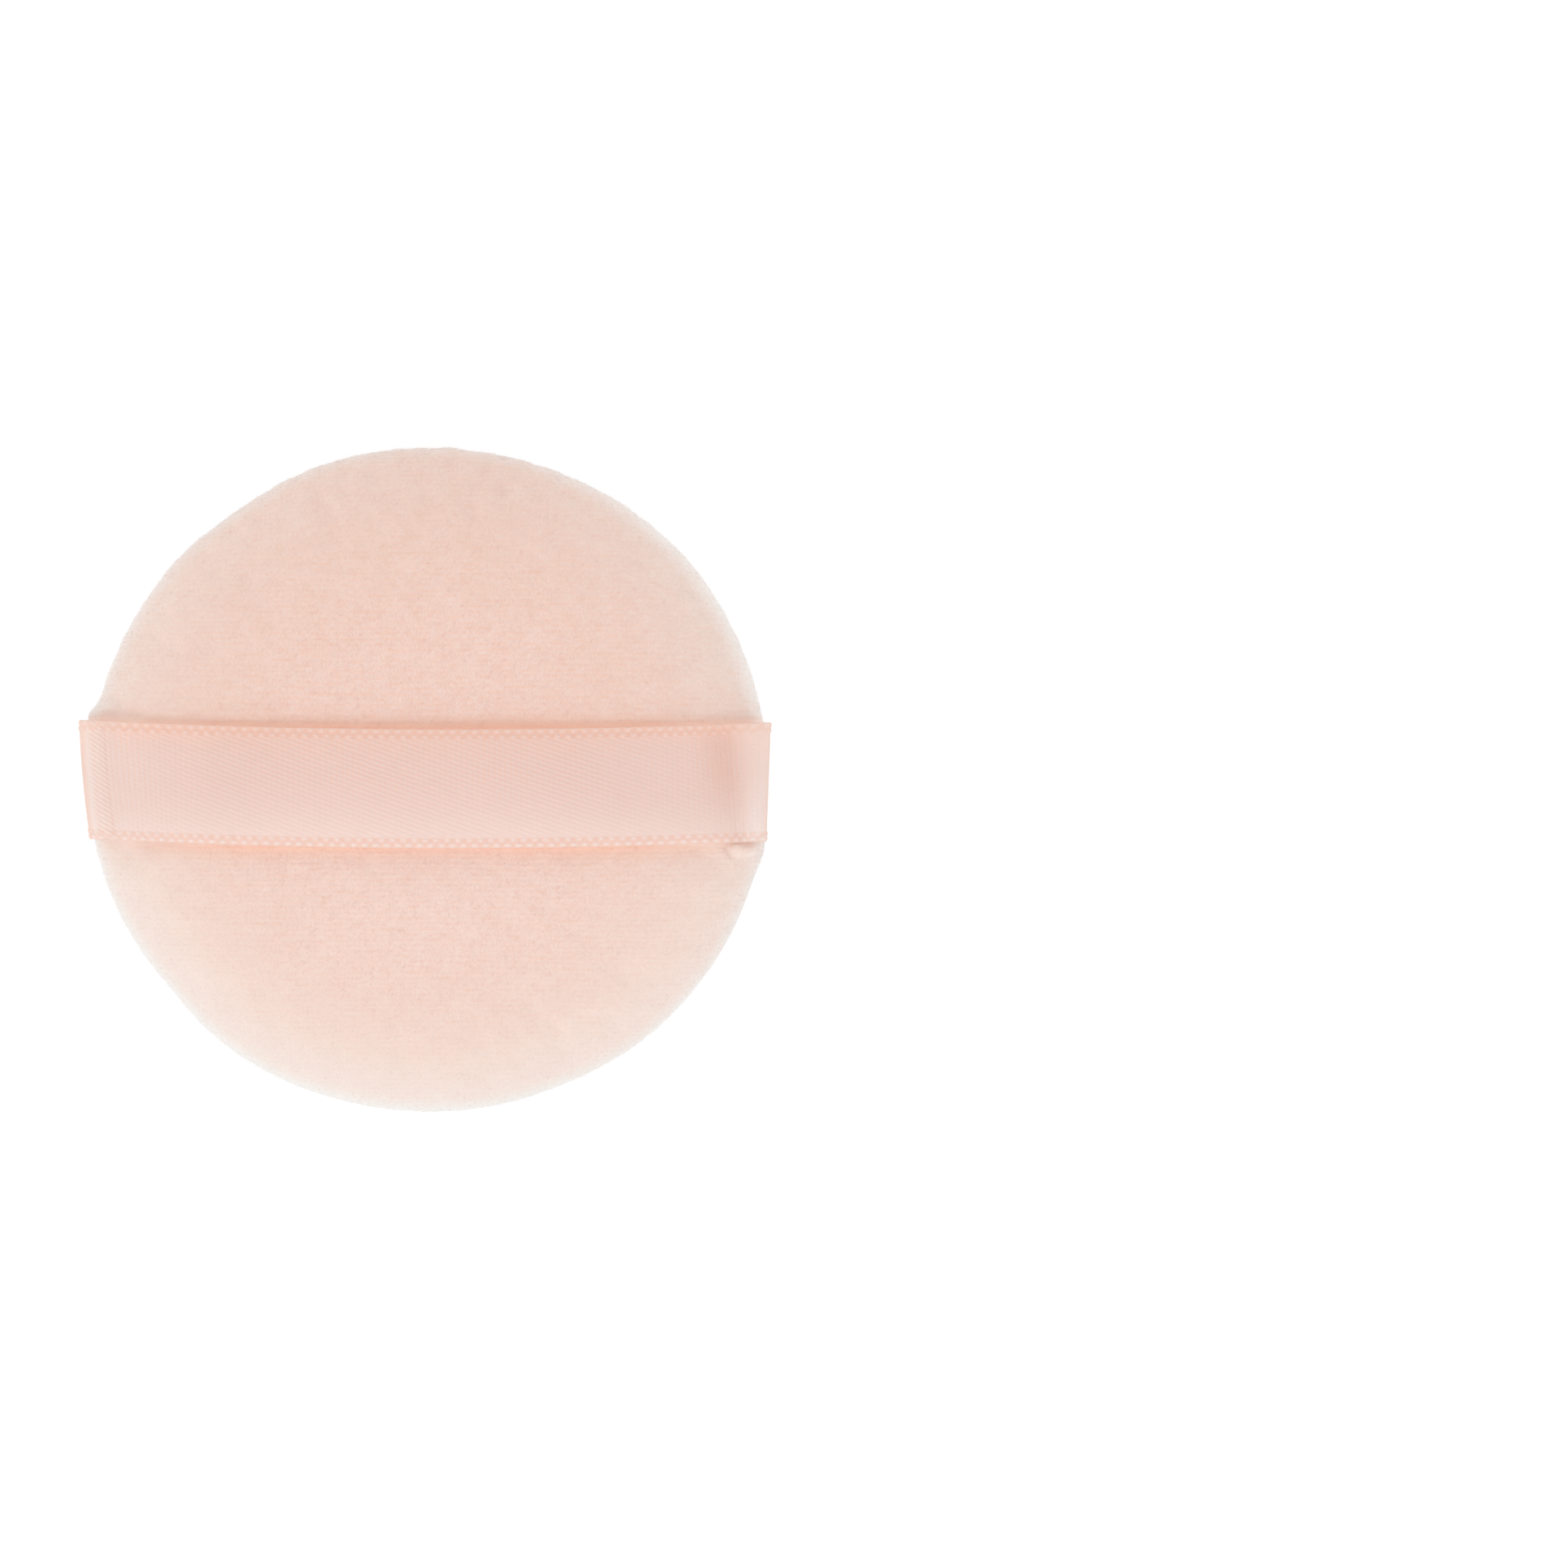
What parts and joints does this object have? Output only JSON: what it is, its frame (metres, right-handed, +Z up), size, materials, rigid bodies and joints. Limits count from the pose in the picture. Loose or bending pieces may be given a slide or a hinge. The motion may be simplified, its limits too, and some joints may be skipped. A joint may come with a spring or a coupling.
{
  "type": "makeup puff",
  "caption": "Round makeup puff: a sponge disc sewn into a velour cover, with a satin ribbon strap across its back for the fingers.",
  "frame": {"origin": "middle of the flat that the powder face rests on", "axes": "+Z up out of the back, +X along the ribbon strap, +Y across it in the plane of the seam"},
  "size_m": [0.0702, 0.067, 0.0166],
  "materials": {
    "velour": "pale peach pink knitted velour with a short soft pile",
    "satin_ribbon": "peach pink satin weave with a soft sheen and looped selvedges",
    "foam": "open-cell latex foam",
    "sewing_thread": "spun polyester thread"
  },
  "bodies": {
    "root": {"back_cover": "velour", "powder_face_cover": "velour", "sponge_core": "foam", "ribbon_strap": "satin_ribbon", "seam_needle_thread": "sewing_thread", "seam_bobbin_thread": "sewing_thread", "closing_thread": "sewing_thread", "left_ribbon_tack": "sewing_thread", "right_ribbon_tack": "sewing_thread"}
  },
  "joints": []
}
